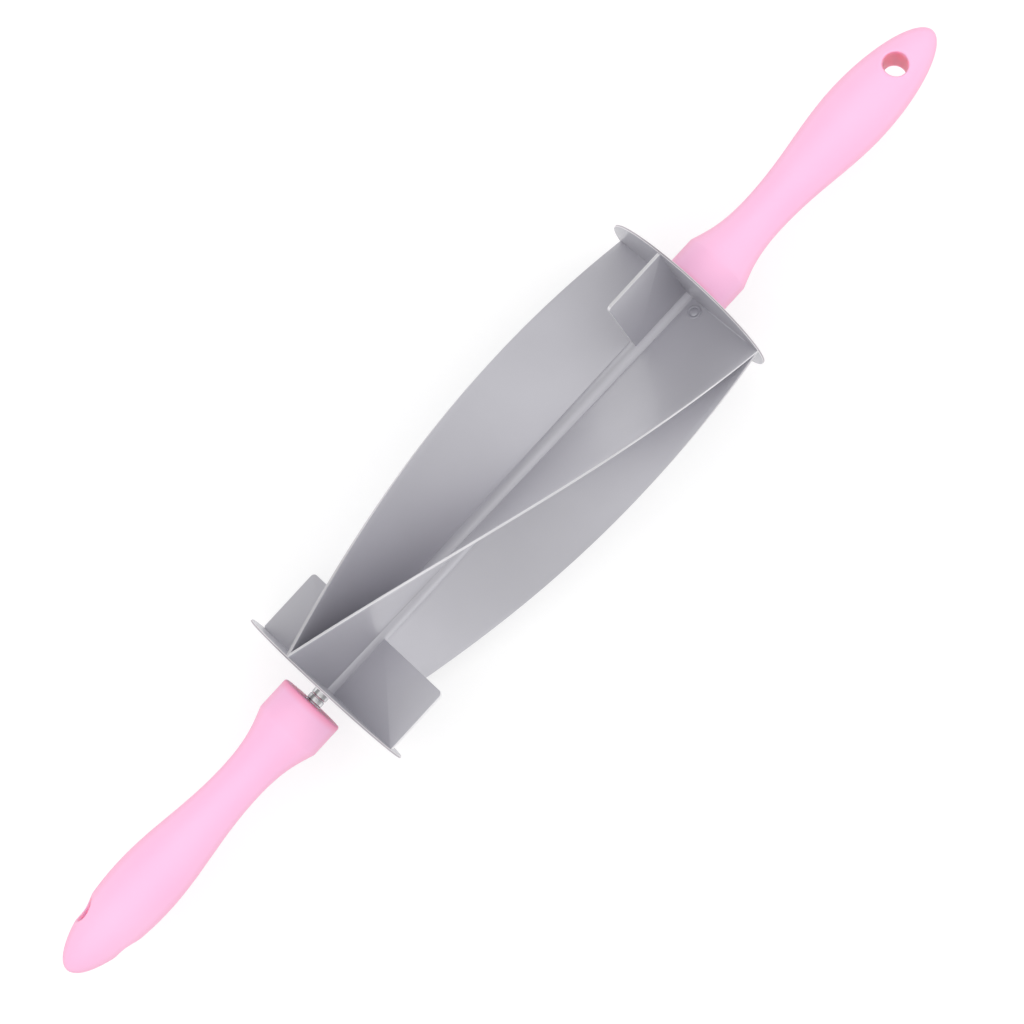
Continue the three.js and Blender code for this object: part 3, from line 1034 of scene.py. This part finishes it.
class CUTTER_OT_rivets(Operator):
    """Turn a cross rivet and set one through each pair of blades at the right disc"""
    bl_idname = "cutter.rivets"
    bl_label = "Rivets"
    bl_options = {'REGISTER', 'UNDO'}

    def execute(self, context):
        roller = context.scene.cutter_roller
        rivet = context.scene.cutter_rivet
        half = math.pi / roller.blade_count
        edge_turn = 2 * half * rivet.inset / DISC_SPACING
        root_turn = half - roller.root_twist * (half - edge_turn)
        # How far the root and the cutting edge lie from the plane between the two blades.
        root_side, root_out = (roller.tube_radius * f(root_turn) for f in (math.sin, math.cos))
        edge_side, edge_out = (roller.blade_radius * f(edge_turn) for f in (math.sin, math.cos))
        share = (rivet.from_axis - root_out) / (edge_out - root_out)
        face = root_side + (edge_side - root_side) * share + roller.sheet / 2
        first = turned("tie_rivet_1", mirrored(rivet_profile(rivet, face)), RIVET_SIDES)
        dress(first, rivet_steel())
        place = Matrix.Translation((DISC_SPACING / 2 - rivet.inset, 0, rivet.from_axis))
        place = place @ Matrix.Rotation(math.pi / 2, 4, 'Z')
        second = copy_of(first, "tie_rivet_2")
        for pair, piece in enumerate((first, second)):
            closing = roller.first_root + half * (1 + 4 * pair)
            settle(piece, about_rod(closing, ROLLER_MIDDLE) @ place)
            join_roller(piece, f"cross_rivet_{pair + 1}")
        return {'FINISHED'}


# -------- stage

def seen_directly(tree):
    """A value of one for camera, glossy and transmission rays, and of nought for others."""
    path = add_node(tree, 'ShaderNodeLightPath', (-900, 300)).outputs
    seen = path["Is Camera Ray"]
    for name in ("Is Glossy Ray", "Is Transmission Ray"):
        seen = calculate(tree, 'MAXIMUM', (-600, 300), seen, path[name])
    return seen


def floor_material():
    """White paper that keeps soft shadows and still shows white to the camera."""
    material, tree, shader = new_material("White paper")
    seen = seen_directly(tree)
    white, grey = (0.82, 0.82, 0.82, 1), (0.42, 0.42, 0.42, 1)
    lift = 0.62
    feed_all(tree, shader, {
        "Base Color": mix_colours(tree, (-300, 300), seen, white, grey), "Roughness": 0.9,
        "Specular IOR Level": 0.0, "Emission Color": (1, 1, 1, 1),
        "Emission Strength": calculate(tree, 'MULTIPLY', (-300, 0), seen, lift)})
    return material


def light_sky(level, zenith, dusk, dawn):
    """A sky, white to the camera, that metal sees greyer overhead and to both sides."""
    world = bpy.data.worlds.new("Studio")
    bpy.context.scene.world = world
    world.use_nodes = True
    tree = world.node_tree
    way = add_node(tree, 'ShaderNodeTexCoord', (-1300, -200)).outputs["Generated"]
    split = add_node(tree, 'ShaderNodeSeparateXYZ', (-1100, -200), Vector=way).outputs
    fade = map_range(tree, (-800, 0), split["Z"], interpolation_type='SMOOTHSTEP',
                     From_Min=0.1, From_Max=1.0, To_Min=1.0, To_Max=zenith)
    across = map_range(tree, (-800, -300), split["Y"], From_Min=-1.0, From_Max=1.0)
    sides = add_node(tree, 'ShaderNodeValToRGB', (-600, -300), Fac=across)
    ramp = sides.color_ramp
    ramp.interpolation = 'EASE'
    for place in (0.35, 0.7):
        ramp.elements.new(place).color = (1, 1, 1, 1)
    for element, place, tone in ((ramp.elements[0], 0.15, dawn), (ramp.elements[-1], 0.9, dusk)):
        element.position, element.color = place, (tone, tone, tone, 1)
    risen = map_range(tree, (-600, -600), split["Z"], interpolation_type='SMOOTHSTEP',
                      From_Min=0.03, From_Max=0.2, To_Min=1.0, To_Max=sides.outputs["Color"])
    both = calculate(tree, 'MULTIPLY', (-300, -200), fade, risen)
    path = add_node(tree, 'ShaderNodeLightPath', (-500, 100)).outputs
    white = calculate(tree, 'MAXIMUM', (-200, -100), both, path["Is Camera Ray"])
    feed_all(tree, tree.nodes["Background"].inputs, {
        "Color": (1, 1, 1, 1),
        "Strength": map_range(tree, (-100, 0), seen_directly(tree), To_Min=level, To_Max=white)})


def hang_lamp(name, place, size, power):
    """A wide square lamp aimed at the middle of the cutter, which metal doesn't mirror."""
    start_fresh()
    bpy.ops.object.light_add(type='AREA', location=place)
    lamp = name_piece(name)
    lamp.data.shape = 'SQUARE'
    lamp.data.size = size
    lamp.data.energy = power
    lamp.visible_glossy = False
    lamp.rotation_euler = (-Vector(place)).to_track_quat('-Z', 'Y').to_euler()


class CUTTER_OT_stage(Operator):
    """Lay the white floor, hang the lamps and set the camera"""
    bl_idname = "cutter.stage"
    bl_label = "Stage"
    bl_options = {'REGISTER', 'UNDO'}

    def execute(self, context):
        stage = context.scene.cutter_stage
        start_fresh()
        bpy.ops.mesh.primitive_plane_add(size=6, location=(0, 0, FLOOR_HEIGHT))
        floor = name_piece("floor")
        keep_place()
        floor.data.materials.append(floor_material())
        light_sky(stage.sky, stage.zenith, stage.dusk, stage.dawn)
        hang_lamp("top_lamp", (-0.25, 0.35, 1.5), size=2.0, power=stage.key_power)
        hang_lamp("side_lamp", (0.9, -0.9, 0.9), size=1.4, power=stage.side_power)
        bpy.ops.object.camera_add(location=stage.camera_place)
        camera = name_piece("camera")
        camera.rotation_euler = Euler(stage.camera_turn, 'XYZ')
        camera.data.sensor_fit = 'HORIZONTAL'
        camera.data.sensor_width = 36
        camera.data.lens = stage.lens
        camera.data.clip_start = 0.01
        camera.data.clip_end = 20
        context.scene.camera = camera
        context.scene.view_settings.view_transform = 'Standard'
        return {'FINISHED'}


# -------- panel and registration

STEPS = (CUTTER_OT_handles, CUTTER_OT_rod, CUTTER_OT_washers, CUTTER_OT_tube,
         CUTTER_OT_discs, CUTTER_OT_blades, CUTTER_OT_fins, CUTTER_OT_rivets,
         CUTTER_OT_stage)
SETTINGS = {"cutter_handle": HandleSettings, "cutter_rod": RodSettings,
            "cutter_roller": RollerSettings, "cutter_rivet": RivetSettings,
            "cutter_stage": StageSettings}


class CUTTER_PT_panel(Panel):
    """Sizes, finishes and making steps of the cutter"""
    bl_idname = "CUTTER_PT_panel"
    bl_label = "Croissant Cutter"
    bl_space_type = 'VIEW_3D'
    bl_region_type = 'UI'
    bl_category = "Cutter"

    def draw(self, context):
        for key, group in SETTINGS.items():
            box = self.layout.box()
            box.label(text=group.__name__.replace("Settings", ""))
            for name in group.__annotations__:
                box.prop(getattr(context.scene, key), name)
        for step in STEPS:
            self.layout.operator(step.bl_idname)


def register():
    for group in SETTINGS.values():
        bpy.utils.register_class(group)
    for key, group in SETTINGS.items():
        setattr(bpy.types.Scene, key, PointerProperty(type=group))
    for step in STEPS:
        bpy.utils.register_class(step)
    bpy.utils.register_class(CUTTER_PT_panel)


def unregister():
    bpy.utils.unregister_class(CUTTER_PT_panel)
    for step in reversed(STEPS):
        bpy.utils.unregister_class(step)
    for key in SETTINGS:
        delattr(bpy.types.Scene, key)
    for group in SETTINGS.values():
        bpy.utils.unregister_class(group)


def main():
    register()
    bpy.ops.cutter.handles()
    bpy.ops.cutter.rod()
    bpy.ops.cutter.washers()
    bpy.ops.cutter.tube()
    bpy.ops.cutter.discs()
    bpy.ops.cutter.blades()
    bpy.ops.cutter.fins()
    bpy.ops.cutter.rivets()
    bpy.ops.cutter.stage()
    start_fresh()


if __name__ == "__main__":
    main()
